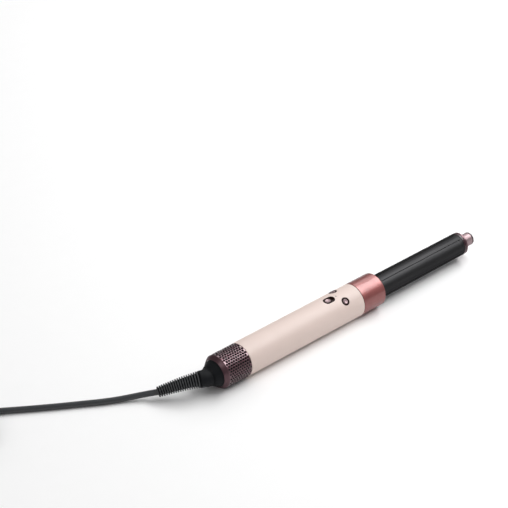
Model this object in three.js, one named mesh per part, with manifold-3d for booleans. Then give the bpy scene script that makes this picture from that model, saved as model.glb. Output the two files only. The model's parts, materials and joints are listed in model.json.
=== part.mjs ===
// Automatic hair curler: a round handle with a blower motor and heater inside, a perforated filter
// cage at the rear, a click-on curling barrel at the front, and a mains lead with its plug.
//
// Millimetres, +Z up, +X from the lead towards the barrel's tip. The handle's axis lies along X at the
// height of its radius, so the handle rests on the plane Z = 0. Stations along the axis are measured
// from the handle's rear edge, and the last group shifts them so that the origin is under the middle.

import * as THREE from "three";
import { mergeVertices } from "three/addons/utils/BufferGeometryUtils.js";
import Module from "manifold-3d";

const wasm = await Module();
wasm.setup();

// ---------------------------------------------------------------- driving dimensions
const RADIUS = 20.5; // handle, and the height of its axis above the surface it lies on
const GAP = 0.3; // between pieces that touch
const WALL = 2.0; // handle shell
const HANDLE_LENGTH = 178.6;
const COLLAR_LENGTH = 35.0;
const CAGE_LENGTH = 33.4; // its round part; the bevel behind it ends at CAGE_END
const CAGE_END = -38.6;
const CAGE_RADIUS = 20.4;
const BARREL_ROOT_RADIUS = 14.7;
const BARREL_TIP_RADIUS = 14.25;
const BARREL_END = 358.3; // station of the barrel shell's front edge
const TIP_END = 382.0; // station of the knob's crown
const NECK = -48.5; // station where the rear cone meets the strain relief
const CONE_END = -58.0; // station of the end of the cone's spigot, inside the relief
const CORD_RADIUS = 3.5;
const SIDES = 32; // facets round the shells
const INNER_SIDES = 24; // facets round what fits inside them
const SMALL_SIDES = 16; // facets round small pieces

// ---------------------------------------------------------------- derived values
const BORE = RADIUS - WALL;
const LINER = BORE - GAP; // outer radius of what is fitted inside the shell
const SHIFT = -(CONE_END + TIP_END) / 2;
const TURN = 2 * Math.PI;
const DEGREE = Math.PI / 180;

// Controls: the angle is from straight up towards -Y, round the handle's axis.
const CONTROL_ANGLE = 6.5 * DEGREE;
const BUTTON_SPREAD = 32 * DEGREE;
const BUTTON_STATION = 153.7;
const SLIDER_STATION = 136.8;
const LIGHT_STATION = 148.0;
const CATCH_STATION = 164.0;
const CATCH_ANGLE = CONTROL_ANGLE + Math.PI;

// ---------------------------------------------------------------- finishes
const finish = (color, roughness, metalness) => ({ color, roughness, metalness });
const BLUSH = finish(0xe9d5cc, 0.45, 0.0);
const ROSE_METAL = finish(0xc98a88, 0.3, 0.9);
const PLUM_METAL = finish(0x6b4a50, 0.4, 0.8);
const GRAPHITE = finish(0x3a3b3d, 0.35, 0.6);
const BURGUNDY = finish(0x3c1f28, 0.35, 0.5);
const PALE_PINK = finish(0xf0d7da, 0.4, 0.0);
const KNOB_GREY = finish(0xb9a2a3, 0.4, 0.3);
const RUBBER = finish(0x16191b, 0.8, 0.0);
const CORD_GREY = finish(0x3a3b3e, 0.7, 0.0);
const DARK_PLASTIC = finish(0x2a2426, 0.5, 0.0);
const GREY_PLASTIC = finish(0x8c8a8b, 0.6, 0.0);
const NATURAL_NYLON = finish(0xd8d2c4, 0.6, 0.0);
const STEEL = finish(0xb8bbbf, 0.3, 1.0);
const COPPER = finish(0xb06a3a, 0.4, 1.0);
const MAGNET = finish(0x4a4c50, 0.4, 0.9);
const MICA = finish(0xcfc3a4, 0.7, 0.0);
const GLASS_BEAD = finish(0xc9b28a, 0.2, 0.0);
const BOARD_GREEN = finish(0x1f5a3c, 0.6, 0.0);
const FINE_MESH = finish(0x77787c, 0.5, 0.8);

// ---------------------------------------------------------------- shape helpers
// Keeps only positions, welds them, drops empty triangles and turns the faces outwards.
function closed(geometry) {
  const bare = geometry.index ? geometry.clone() : geometry;
  bare.deleteAttribute("normal");
  bare.deleteAttribute("uv");
  const welded = mergeVertices(bare, 1e-4);
  const p = welded.getAttribute("position");
  const at = (i) => new THREE.Vector3().fromBufferAttribute(p, i);
  const kept = [];
  let volume = 0;
  for (let i = 0; i < welded.index.count; i += 3) {
    const [a, b, c] = [0, 1, 2].map((k) => welded.index.getX(i + k));
    if (a === b || b === c || c === a) {
      continue;
    }
    kept.push(a, b, c);
    volume += at(a).dot(at(b).cross(at(c)));
  }
  if (volume < 0) {
    kept.reverse();
  }
  const result = new THREE.BufferGeometry();
  result.setAttribute("position", p.clone());
  result.setIndex(kept);
  return result;
}

function toSolid(geometry) {
  const mesh = new wasm.Mesh({
    numProp: 3,
    vertProperties: new Float32Array(geometry.getAttribute("position").array),
    triVerts: new Uint32Array(geometry.index.array),
  });
  return new wasm.Manifold(mesh);
}

function fromSolid(solid) {
  const mesh = solid.getMesh();
  const result = new THREE.BufferGeometry();
  result.setAttribute("position", new THREE.BufferAttribute(mesh.vertProperties, 3));
  result.setIndex(new THREE.BufferAttribute(mesh.triVerts, 1));
  return result;
}

const joined = (parts) => parts.map(toSolid).reduce((sum, part) => sum.add(part));
const join = (...parts) => fromSolid(joined(parts));
const cut = (base, ...tools) => fromSolid(toSolid(base).subtract(joined(tools)));

// A body of revolution about X from [station, radius] points. The radius is measured to the facets'
// flats, and one facet faces straight down, so that round pieces rest on a flat.
function turned(points, sides = SIDES) {
  const toCorner = 1 / Math.cos(Math.PI / sides);
  const profile = points.map(([x, r]) => new THREE.Vector2(r * toCorner, x));
  const lathe = new THREE.LatheGeometry(profile, sides, Math.PI / sides);
  return closed(lathe.rotateZ(-Math.PI / 2));
}

function ring(x0, x1, inner, outer, sides = INNER_SIDES) {
  return turned([[x0, inner], [x1, inner], [x1, outer], [x0, outer], [x0, inner]], sides);
}

const rod = (x0, x1, radius, sides = SMALL_SIDES) => turned([[x0, 0], [x0, radius], [x1, radius], [x1, 0]], sides);

function box(x0, x1, y0, y1, z0, z1) {
  const block = new THREE.BoxGeometry(x1 - x0, y1 - y0, z1 - z0);
  return closed(block.translate((x0 + x1) / 2, (y0 + y1) / 2, (z0 + z1) / 2));
}

// A pill-shaped prism standing along Z, long in X, centred at the given station.
function pill(station, halfLength, halfWidth, low, high) {
  const straight = halfLength - halfWidth;
  const outline = new THREE.Shape();
  outline.absarc(straight, 0, halfWidth, -Math.PI / 2, Math.PI / 2);
  outline.absarc(-straight, 0, halfWidth, Math.PI / 2, (3 * Math.PI) / 2);
  const prism = new THREE.ExtrudeGeometry(outline, { depth: high - low, bevelEnabled: false, curveSegments: 4 });
  return closed(prism.translate(station, 0, low));
}

// A round prism standing along Z.
function disc(station, radius, low, high, sides = SMALL_SIDES) {
  const prism = new THREE.CylinderGeometry(radius, radius, high - low, sides);
  return closed(prism.rotateX(Math.PI / 2).translate(station, 0, (low + high) / 2));
}

const turnedBy = (geometry, angle) => geometry.clone().rotateX(angle);
const spread = (count, make) => Array.from({ length: count }, (_, i) => make(i, (i * TURN) / count));

// A round tube along a smooth path, with its radius changing by the given function of 0 to 1.
function tube(curve, steps, sides, radiusAt) {
  const section = new THREE.Shape();
  section.absarc(0, 0, 1, 0, TURN);
  const options = { steps, extrudePath: curve, bevelEnabled: false, curveSegments: sides / 2 };
  const swept = new THREE.ExtrudeGeometry(section, options);
  const p = swept.getAttribute("position");
  const centres = curve.getSpacedPoints(steps);
  const v = new THREE.Vector3();
  for (let i = 0; i < p.count; i += 1) {
    v.fromBufferAttribute(p, i);
    const distances = centres.map((c) => Math.abs(c.distanceTo(v) - 1));
    const k = distances.indexOf(Math.min(...distances));
    v.sub(centres[k]).setLength(radiusAt(k / steps)).add(centres[k]);
    p.setXYZ(i, v.x, v.y, v.z);
  }
  return closed(swept);
}

// ---------------------------------------------------------------- assembly helpers
const curler = new THREE.Group();
const axis = new THREE.Group(); // everything round the handle's axis
axis.position.set(SHIFT, 0, RADIUS);
curler.add(axis);

function add(parent, name, geometry, look) {
  const mesh = new THREE.Mesh(geometry, new THREE.MeshStandardMaterial(look));
  mesh.name = name;
  geometry.computeVertexNormals();
  parent.add(mesh);
}

// A group whose own +Z points out of the handle at the given angle.
function radialGroup(angle) {
  const group = new THREE.Group();
  group.rotation.x = angle;
  axis.add(group);
  return group;
}

// ---------------------------------------------------------------- handle shell and controls
const SLOT_HALF_LENGTH = 7.9;
const SLOT_HALF_WIDTH = 4.9;
const BUTTON_RING = 5.1;
const RING_TOP = RADIUS + 0.5;
const RING_FOOT = 17.7;
const LIGHT_RADIUS = 1.1;
const CATCH_HALF_LENGTH = 4.2;
const CATCH_HALF_WIDTH = 3.2;
const CATCH_TRAVEL = 3.0;
const BUTTON_ANGLES = { airflow: CONTROL_ANGLE + BUTTON_SPREAD, temperature: CONTROL_ANGLE - BUTTON_SPREAD };

function addHandleShell() {
  const shell = ring(0, HANDLE_LENGTH, BORE, RADIUS, SIDES);
  const low = BORE - 3;
  const high = RADIUS + 3;
  const slot = pill(SLIDER_STATION, SLOT_HALF_LENGTH + GAP, SLOT_HALF_WIDTH + GAP, low, high);
  const light = disc(LIGHT_STATION, LIGHT_RADIUS + GAP, low, high, 12);
  const catchSlot = pill(
    CATCH_STATION - CATCH_TRAVEL / 2,
    CATCH_HALF_LENGTH + CATCH_TRAVEL / 2 + GAP,
    CATCH_HALF_WIDTH + GAP,
    low,
    high,
  );
  const buttonHoles = Object.values(BUTTON_ANGLES).map((angle) =>
    turnedBy(disc(BUTTON_STATION, BUTTON_RING + GAP, low, high), angle),
  );
  const tools = [
    turnedBy(slot, CONTROL_ANGLE),
    turnedBy(light, CONTROL_ANGLE),
    turnedBy(catchSlot, CATCH_ANGLE),
    ...buttonHoles,
  ];
  add(axis, "handle_shell", cut(shell, ...tools), BLUSH);
}

function addSlider() {
  const group = radialGroup(CONTROL_ANGLE);
  const openingHalfLength = 6.3;
  const openingHalfWidth = 3.2;
  const knobHalfLength = 3.9;
  const knobStation = SLIDER_STATION - openingHalfLength + GAP + knobHalfLength;
  const bezel = cut(
    pill(SLIDER_STATION, SLOT_HALF_LENGTH, SLOT_HALF_WIDTH, RING_FOOT, RING_TOP),
    pill(SLIDER_STATION, openingHalfLength, openingHalfWidth, RING_FOOT - 1, RING_TOP + 1),
  );
  const knob = join(
    pill(knobStation, knobHalfLength, openingHalfWidth - GAP, 16.6, RADIUS),
    pill(knobStation, 5.8, 4.0, 16.3, RING_FOOT - GAP),
  );
  add(group, "slider_bezel", bezel, DARK_PLASTIC);
  add(group, "power_slider", knob, KNOB_GREY);
  add(group, "slide_switch", box(SLIDER_STATION - 5, SLIDER_STATION + 5, -2, 2, 15.1, 15.9), STEEL);
}

function addButton(name, angle) {
  const group = radialGroup(angle);
  const capRadius = 3.7;
  const bezel = cut(
    disc(BUTTON_STATION, BUTTON_RING, RING_FOOT, RING_TOP),
    disc(BUTTON_STATION, capRadius + GAP, RING_FOOT - 1, RING_TOP + 1),
  );
  const cap = join(
    disc(BUTTON_STATION, capRadius, 16.8, RADIUS + 0.3),
    disc(BUTTON_STATION, 4.6, 16.5, RING_FOOT - GAP),
  );
  add(group, `${name}_bezel`, bezel, DARK_PLASTIC);
  add(group, `${name}_button`, cap, KNOB_GREY);
  add(group, `${name}_switch`, disc(BUTTON_STATION, 2, 15.1, 15.6, 12), STEEL);
}

function addIndicator() {
  const group = radialGroup(CONTROL_ANGLE);
  add(group, "indicator_light", disc(LIGHT_STATION, LIGHT_RADIUS, 15.6, RADIUS, 12), NATURAL_NYLON);
}

function addControlBoard() {
  const halfSpan = 52 * DEGREE;
  const outer = 14.7;
  const inner = 13.9;
  const middle = Math.PI - CONTROL_ANGLE; // the sector is drawn with the handle's up at 180 degrees
  const outline = new THREE.Shape();
  outline.absarc(0, 0, outer, middle - halfSpan, middle + halfSpan, false);
  outline.absarc(0, 0, inner, middle + halfSpan, middle - halfSpan, true);
  const board = new THREE.ExtrudeGeometry(outline, { depth: 34, bevelEnabled: false, curveSegments: 6 });
  board.scale(1, -1, 1).rotateY(Math.PI / 2).translate(125, 0, 0);
  add(axis, "control_board", closed(board), BOARD_GREEN);
}

function addReleaseCatch() {
  const group = radialGroup(CATCH_ANGLE);
  const tab = pill(CATCH_STATION, CATCH_HALF_LENGTH, CATCH_HALF_WIDTH, 17.3, RADIUS - 0.3);
  const ridges = [-2, 0, 2].map((dx) =>
    box(CATCH_STATION + dx - 0.3, CATCH_STATION + dx + 0.3, -2.4, 2.4, RADIUS - 0.7, RADIUS),
  );
  const leaf = box(152, 170, -2.5, 2.5, 16.3, 16.9);
  const hook = box(168.4, 170, -2.5, 2.5, 13.4, 16.5);
  add(group, "release_catch", cut(tab, ...ridges), BLUSH);
  add(group, "latch_spring", join(leaf, hook), STEEL);
}

// ---------------------------------------------------------------- rear: filter, frame, cone
const STALK_RADIUS = 5.7;
const STALK_BORE = 4.2;
const CONE_FRONT = -33.7;
const NECK_RADIUS = 10.9;
const NECK_SPIGOT = 5.5;
const CAGE_MOUTH = 16.5; // opening of the cage's rear bevel, which passes over the cone and the fine filter

function addFilterCage() {
  const inner = 19.0;
  const cage = turned([
    [CAGE_END, CAGE_MOUTH],
    [-CAGE_LENGTH - 0.6, inner],
    [-GAP, inner],
    [-GAP, CAGE_RADIUS],
    [-CAGE_LENGTH, CAGE_RADIUS],
    [CAGE_END, CAGE_MOUTH + 0.6],
    [CAGE_END, CAGE_MOUTH],
  ]);
  const columns = 12;
  const rows = [[-32.4, -18.5], [-17.1, -3.2]];
  const first = CONTROL_ANGLE + Math.PI / columns;
  const windows = spread(columns, (_, angle) =>
    rows.map(([x0, x1]) => turnedBy(box(x0, x1, -3, 3, inner - 3, CAGE_RADIUS + 3), angle + first)),
  );
  const dotRadius = 0.8;
  const dotStation = -2.0;
  const dotHole = turnedBy(disc(dotStation, dotRadius + GAP, inner - 1, CAGE_RADIUS + 1, 8), CONTROL_ANGLE);
  add(axis, "filter_cage", cut(cage, dotHole, ...windows.flat()), PLUM_METAL);
  const dot = disc(dotStation, dotRadius, inner + GAP, CAGE_RADIUS + 0.1, 8);
  add(radialGroup(CONTROL_ANGLE), "alignment_dot", dot, BLUSH);
}

function addFineFilter() {
  add(axis, "fine_filter", ring(CONE_FRONT + GAP, -1, 15.3, 16.1), FINE_MESH);
}

function addIntakeFrame() {
  const rim = ring(2, 8, 15.6, LINER);
  const hub = ring(2, 8, STALK_RADIUS + GAP, 8, SMALL_SIDES);
  const arms = spread(4, (_, angle) => turnedBy(box(2.5, 6.5, -1, 1, 7.6, 16), angle));
  add(axis, "intake_frame", join(rim, hub, ...arms), DARK_PLASTIC);
}

function addCableStalk() {
  add(axis, "cable_stalk", ring(CONE_FRONT + GAP, 9, STALK_BORE, STALK_RADIUS, SMALL_SIDES), DARK_PLASTIC);
}

function addEndCone() {
  const mouth = CAGE_MOUTH - GAP;
  const bore = CORD_RADIUS + GAP;
  const outside = [[CAGE_END - GAP, mouth], [-46.5, 11.8], [NECK, NECK_RADIUS]];
  const spigot = [[NECK, NECK_SPIGOT], [CONE_END, NECK_SPIGOT]];
  const profile = [[CONE_FRONT, bore], [CONE_FRONT, mouth], ...outside, ...spigot, [CONE_END, bore]];
  add(axis, "end_cone", turned([...profile, profile[0]], INNER_SIDES), RUBBER);
}

// ---------------------------------------------------------------- blower motor
const BEARING_RADIUS = 4.0;
const SHAFT_RADIUS = 1.5;
const MOTOR_BORE = 13.4;

function addMotorCase() {
  add(axis, "motor_sleeve", ring(30, 60, 14.9, LINER), RUBBER);
  add(axis, "motor_bucket", ring(21, 68, MOTOR_BORE, 14.6), GREY_PLASTIC);
  add(axis, "motor_pcb", ring(65.5, 66.7, 2.2, MOTOR_BORE - GAP), BOARD_GREEN);
}

function addImpeller() {
  const hub = ring(24, 34, SHAFT_RADIUS + GAP, 6, SMALL_SIDES);
  const blades = spread(7, (_, angle) => {
    const blade = box(-4.6, 4.6, -0.4, 0.4, 5.5, MOTOR_BORE - 0.8).rotateZ(38 * DEGREE);
    return turnedBy(blade.translate(29, 0, 0), angle);
  });
  add(axis, "impeller", join(hub, ...blades), GREY_PLASTIC);
  add(axis, "rotor_shaft", rod(22, 64.5, SHAFT_RADIUS, 12), STEEL);
  add(axis, "rotor_magnet", ring(43, 55, SHAFT_RADIUS + GAP, 4.2, 12), MAGNET);
}

// A bearing holder: a rim, a hub and arms between them.
function bearingHolder(x0, x1, arms, slant) {
  const rim = ring(x0, x1, 11.8, MOTOR_BORE - GAP);
  const hub = ring(x0, x1, BEARING_RADIUS + GAP, 5.8, SMALL_SIDES);
  const middle = (x0 + x1) / 2;
  const half = (x1 - x0) / 2 - 0.3;
  const vanes = spread(arms, (_, angle) => {
    const vane = box(-half, half, -0.5, 0.5, 5.4, 12.2).rotateZ(slant);
    return turnedBy(vane.translate(middle, 0, 0), angle);
  });
  return join(rim, hub, ...vanes);
}

function addBearings() {
  add(axis, "diffuser", bearingHolder(36.2, 40.7, 7, -30 * DEGREE), GREY_PLASTIC);
  add(axis, "front_bearing", ring(37, 40, SHAFT_RADIUS + GAP, BEARING_RADIUS, 12), STEEL);
  add(axis, "motor_bracket", bearingHolder(59.4, 63.4, 3, 0), GREY_PLASTIC);
  add(axis, "rear_bearing", ring(60, 63, SHAFT_RADIUS + GAP, BEARING_RADIUS, 12), STEEL);
}

function addStator() {
  const [x0, x1] = [44.5, 53.5];
  const poleHalfWidth = 2.5;
  const yoke = ring(x0, x1, 10.6, MOTOR_BORE - GAP);
  const poles = [0, Math.PI].map((angle) => turnedBy(box(x0, x1, -poleHalfWidth, poleHalfWidth, 4.8, 11.2), angle));
  add(axis, "stator_core", join(yoke, ...poles), STEEL);
  const inside = poleHalfWidth + GAP;
  const outside = inside + 1.9;
  [0, Math.PI].forEach((angle, i) => {
    const winding = cut(
      box(x0 - GAP - 1.9, x1 + GAP + 1.9, -outside, outside, 5.2, 9.1),
      box(x0 - GAP, x1 + GAP, -inside, inside, 4, 11),
    );
    add(axis, `stator_coil_${i + 1}`, turnedBy(winding, angle), COPPER);
  });
}

// ---------------------------------------------------------------- heater and neck
const HEATER_RADIUS = 12.0;
const HEATER_BORE = 11.4;
const RING_STATIONS = [106, 121, 136];

function addHeater() {
  const funnel = turned([
    [70, 16.6],
    [91, HEATER_RADIUS + GAP],
    [98, HEATER_RADIUS + GAP],
    [98, 13.3],
    [91, 13.5],
    [73, LINER],
    [70, LINER],
    [70, 16.6],
  ], INNER_SIDES);
  add(axis, "duct_funnel", funnel, GREY_PLASTIC);
  add(axis, "heater_tube", ring(94, 150, HEATER_BORE, HEATER_RADIUS), MICA);
  const reach = HEATER_BORE - GAP;
  const cross = [0, Math.PI / 2].map((angle) => turnedBy(box(97, 147, -reach, reach, -0.4, 0.4), angle));
  const element = (x, grow) => ring(x - 3 - grow, x + 3 + grow, 8.0 - grow, 9.4 + grow, 12);
  add(axis, "heater_frame", cut(join(...cross), ...RING_STATIONS.map((x) => element(x, GAP))), MICA);
  RING_STATIONS.forEach((x, i) => add(axis, `heating_element_${i + 1}`, element(x, 0), COPPER));
}

function addNeck() {
  const socket = turned([
    [146, HEATER_RADIUS + GAP],
    [162.6, HEATER_RADIUS + GAP],
    [162.6, 14.2],
    [HANDLE_LENGTH - 0.6, 14.2],
    [HANDLE_LENGTH - 0.6, LINER],
    [160.4, LINER],
    [160.4, 13.4],
    [146, 13.4],
    [146, HEATER_RADIUS + GAP],
  ], INNER_SIDES);
  const channel = turnedBy(box(159, 174, -CATCH_HALF_WIDTH - 0.6, CATCH_HALF_WIDTH + 0.6, 12, 20), CATCH_ANGLE);
  add(axis, "neck_socket", cut(socket, channel), DARK_PLASTIC);
  add(axis, "neck_seal", ring(162.9, 164.4, 12.6, 13.9), RUBBER);
  const holder = box(152, 154, -11.9, 11.9, -1, 1);
  const bead = rod(153, 157.5, 0.9, 8);
  add(axis, "thermistor", join(holder, bead), GLASS_BEAD);
}

// ---------------------------------------------------------------- barrel attachment
const SPIGOT_RADIUS = 13.9;
const BASE_BORE = 12.2;
const COLLAR_START = HANDLE_LENGTH + 0.4;
const COLLAR_END = HANDLE_LENGTH + COLLAR_LENGTH;
const SLEEVE_RADIUS = 13.0;
const BARREL_BORE = 13.3;
const BARREL_START = 186;
const KNOB_SHAFT_RADIUS = 2.5;
const AIR_SLOTS = 6;

function addCollar() {
  const inner = 18.8;
  const lip = 17.0;
  const round = 1.8;
  const nose = [0.33, 0.67].map((t) => {
    const a = (t * Math.PI) / 2;
    return [COLLAR_END - round + round * Math.sin(a), RADIUS - round + round * Math.cos(a)];
  });
  const collar = turned([
    [COLLAR_START, inner],
    [COLLAR_END - 2.6, inner],
    [COLLAR_END - 2.6, lip],
    [COLLAR_END, lip],
    [COLLAR_END, RADIUS - round],
    ...nose.reverse(),
    [COLLAR_END - round, RADIUS],
    [COLLAR_START, RADIUS],
    [COLLAR_START, inner],
  ]);
  add(axis, "collar", collar, ROSE_METAL);
  add(axis, "collar_spacer", ring(183, COLLAR_END - 2.9, BARREL_ROOT_RADIUS + GAP, inner - GAP), DARK_PLASTIC);
}

function addCouplingBase() {
  const groove = 13.05;
  const base = turned([
    [164.7, BASE_BORE],
    [200, BASE_BORE],
    [200, SLEEVE_RADIUS],
    [182, SLEEVE_RADIUS],
    [182, 18.5],
    [COLLAR_START, 18.5],
    [COLLAR_START, SPIGOT_RADIUS],
    [170.4, SPIGOT_RADIUS],
    [170.4, groove],
    [168.0, groove],
    [168.0, SPIGOT_RADIUS],
    [164.7, SPIGOT_RADIUS],
    [164.7, BASE_BORE],
  ], INNER_SIDES);
  add(axis, "coupling_base", base, DARK_PLASTIC);
}

// Long narrow air slots cut through a tube.
function slotted(tubeSolid, x0, x1, halfWidth, offset) {
  const slots = spread(AIR_SLOTS, (_, angle) =>
    turnedBy(box(x0, x1, -halfWidth, halfWidth, 9, 17), angle + offset),
  );
  return cut(tubeSolid, ...slots);
}

function addBarrel() {
  const shell = turned([
    [BARREL_START, BARREL_BORE],
    [BARREL_END, BARREL_BORE],
    [BARREL_END, BARREL_TIP_RADIUS],
    [BARREL_START, BARREL_ROOT_RADIUS],
    [BARREL_START, BARREL_BORE],
  ]);
  add(axis, "barrel_shell", slotted(shell, 218, 350, 0.5, 30 * DEGREE), GRAPHITE);
  const cap = turned([
    [352, KNOB_SHAFT_RADIUS + GAP],
    [361.6, KNOB_SHAFT_RADIUS + GAP],
    [361.6, BARREL_TIP_RADIUS],
    [BARREL_END + GAP, BARREL_TIP_RADIUS],
    [BARREL_END + GAP, SLEEVE_RADIUS],
    [352, SLEEVE_RADIUS],
    [352, KNOB_SHAFT_RADIUS + GAP],
  ], INNER_SIDES);
  add(axis, "barrel_end_cap", cap, BURGUNDY);
  const flange = turned([
    [361.9, KNOB_SHAFT_RADIUS + GAP],
    [365.5, KNOB_SHAFT_RADIUS + GAP],
    [365.5, 13.0],
    [364.3, 14.2],
    [361.9, 14.2],
    [361.9, KNOB_SHAFT_RADIUS + GAP],
  ], INNER_SIDES);
  add(axis, "tip_flange", flange, PALE_PINK);
}

function addDirectionKnob() {
  const outer = 8.1;
  const crown = 1.8;
  const roundTop = [0, 0.33, 0.67, 1].map((t) => {
    const a = (t * Math.PI) / 2;
    return [TIP_END - crown + crown * Math.sin(a), outer - crown + crown * Math.cos(a)];
  });
  const knob = turned([
    [374, 0],
    [374, KNOB_SHAFT_RADIUS + GAP],
    [365.8, KNOB_SHAFT_RADIUS + GAP],
    [365.8, outer],
    ...roundTop,
    [TIP_END, 0],
  ], SMALL_SIDES);
  add(axis, "direction_knob", knob, KNOB_GREY);
  add(axis, "knob_shaft", rod(345, 373.5, KNOB_SHAFT_RADIUS, 12), STEEL);
  const shutter = turned([
    [204, 11.3],
    [347, 11.3],
    [347, KNOB_SHAFT_RADIUS + GAP],
    [350, KNOB_SHAFT_RADIUS + GAP],
    [350, 12.1],
    [204, 12.1],
    [204, 11.3],
  ], INNER_SIDES);
  add(axis, "flow_shutter", slotted(shutter, 220, 344, 1.4, 30 * DEGREE), GREY_PLASTIC);
}

// ---------------------------------------------------------------- mains lead
// Points of the lead are in the finished frame: Z is the height above the surface.
const RELIEF_THICK = 9.5;
const RELIEF_THIN = 5.9;
const RELIEF_NECK = 9.0; // length in which the relief narrows from the cone's neck
const RELIEF_PATH = new THREE.CubicBezierCurve3(
  new THREE.Vector3(NECK + SHIFT - GAP, 0, RADIUS),
  new THREE.Vector3(-217.5, 0, RADIUS),
  new THREE.Vector3(-222.0, 0.5, 25.5),
  new THREE.Vector3(-259.5, 27.9, 9.4),
);
const RUN_POINTS = [
  [-260.2, 28.5, 9.2],
  [-267.8, 34.8, 7.4],
  [-279.3, 42.5, 5.7],
  [-293.3, 50.7, 4.3],
  [-309.3, 60.1, 3.7],
  [-331.6, 74.6, 3.5],
  [-354.9, 89.7, 3.5],
  [-379.3, 106.2, 3.6],
  [-405.4, 124.3, 3.9],
  [-429.5, 140.6, 4.5],
];
// The coil is three turns wide and four high. It lies on its tie, so it stands a little off the surface.
const COIL_CENTRE = new THREE.Vector3(-481.1, 120.0, 0);
const COIL_MIDDLE = 38.1;
const COIL_BASE = 1.1;
const COIL_COLUMNS = 3;
const COIL_ROWS = 4;
const COIL_OUTER = COIL_MIDDLE + COIL_COLUMNS * CORD_RADIUS;
const COIL_INNER = COIL_MIDDLE - COIL_COLUMNS * CORD_RADIUS;
const COIL_TOP = COIL_BASE + COIL_ROWS * 2 * CORD_RADIUS;
const ENTRY_ANGLE = 55.3 * DEGREE;
const EXIT_ANGLE = 174 * DEGREE;
const EXIT_RADIUS = COIL_MIDDLE + 2 * CORD_RADIUS;
const LEAD_LENGTH = 80; // from the coil to the plug
const PLUG_ENTRY_HEIGHT = 8.5;

// A ring lying flat round the coil's centre.
function flatRing(z0, z1, inner, outer) {
  const upright = ring(z0, z1, inner, outer).rotateY(-Math.PI / 2);
  return upright.translate(COIL_CENTRE.x, COIL_CENTRE.y, 0);
}

function addStrainRelief() {
  const length = RELIEF_PATH.getLength();
  const radiusAt = (t) => {
    const past = t * length - RELIEF_NECK;
    if (past < 0) return RELIEF_THICK + (NECK_RADIUS - RELIEF_THICK) * (past / RELIEF_NECK) ** 2;
    return RELIEF_THICK + ((RELIEF_THIN - RELIEF_THICK) * past) / (length - RELIEF_NECK);
  };
  const hole = rod(CONE_END - GAP, NECK + 1, NECK_SPIGOT + GAP, SMALL_SIDES).translate(SHIFT, 0, RADIUS);
  add(curler, "strain_relief", cut(tube(RELIEF_PATH, 13, 12, radiusAt), hole), RUBBER);
}

// The lead between the coil and the plug leaves the coil's top turn level and then comes down.
function leadCurve() {
  const out = new THREE.Vector3(Math.cos(EXIT_ANGLE), Math.sin(EXIT_ANGLE), 0);
  const along = new THREE.Vector3(-out.y, out.x, 0);
  const top = COIL_TOP - CORD_RADIUS;
  const heights = [[0, top], [14, top], [24, top - 1.6], [38, top - 7.2], [52, 11.8], [66, 9.2], [LEAD_LENGTH, 8.5]];
  const points = heights.map(([t, z]) => {
    const point = COIL_CENTRE.clone().addScaledVector(out, EXIT_RADIUS).addScaledVector(along, t);
    return point.setZ(z);
  });
  return new THREE.CatmullRomCurve3(points, false, "centripetal");
}

function addLead() {
  const keepOut = flatRing(-1, COIL_TOP + CORD_RADIUS, COIL_INNER, COIL_OUTER + GAP);
  const entry = new THREE.Vector3(Math.cos(ENTRY_ANGLE), Math.sin(ENTRY_ANGLE), 0);
  const last = COIL_CENTRE.clone().addScaledVector(entry, EXIT_RADIUS).setZ(COIL_BASE + CORD_RADIUS);
  const runPoints = [...RUN_POINTS.map((p) => new THREE.Vector3(...p)), last];
  const run = tube(new THREE.CatmullRomCurve3(runPoints, false, "centripetal"), 18, 8, () => CORD_RADIUS);
  add(curler, "cord_tube", cut(run, keepOut), CORD_GREY);
  add(curler, "cord_lead", cut(tube(leadCurve(), 8, 8, () => CORD_RADIUS), keepOut), CORD_GREY);
  add(curler, "cord_coil", flatRing(COIL_BASE, COIL_TOP, COIL_INNER, COIL_OUTER), CORD_GREY);
}

function addTie() {
  const angle = -60 * DEGREE;
  const thickness = 0.8;
  const halfWidth = 6;
  const band = cut(
    box(COIL_INNER - 2, COIL_OUTER + 1.4, -halfWidth, halfWidth, 0, COIL_TOP + GAP + thickness),
    box(COIL_INNER - 1.2, COIL_OUTER + 0.6, -halfWidth - 1, halfWidth + 1, thickness, COIL_TOP + GAP),
  );
  const group = new THREE.Group();
  group.position.copy(COIL_CENTRE);
  group.rotation.z = angle;
  curler.add(group);
  add(group, "cord_tie", band, DARK_PLASTIC);
}

function addPlug() {
  const group = new THREE.Group();
  const end = leadCurve().getPoint(1);
  group.position.set(end.x, end.y, 0);
  group.rotation.z = EXIT_ANGLE + Math.PI / 2; // its own +X leads away from the cord
  curler.add(group);
  const outline = new THREE.Shape();
  outline.moveTo(GAP, -4.6);
  outline.lineTo(14, -8);
  outline.lineTo(20, -15);
  outline.lineTo(38, -15);
  outline.lineTo(38, 15);
  outline.lineTo(20, 15);
  outline.lineTo(14, 8);
  outline.lineTo(GAP, 4.6);
  const height = 17;
  const bevel = 2;
  const body = new THREE.ExtrudeGeometry(outline, {
    depth: height - 2 * bevel,
    bevelSize: bevel,
    bevelOffset: -bevel,
    bevelThickness: bevel,
    bevelSegments: 2,
  });
  add(group, "plug_body", closed(body.translate(0, 0, bevel)), DARK_PLASTIC);
  const pinRadius = 2.4;
  const pinSpacing = 19;
  [-1, 1].forEach((side, i) => {
    const pin = rod(38 + GAP, 57, pinRadius, 12);
    pin.translate(0, (side * pinSpacing) / 2, PLUG_ENTRY_HEIGHT);
    add(group, `plug_pin_${i + 1}`, pin, STEEL);
  });
}

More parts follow.
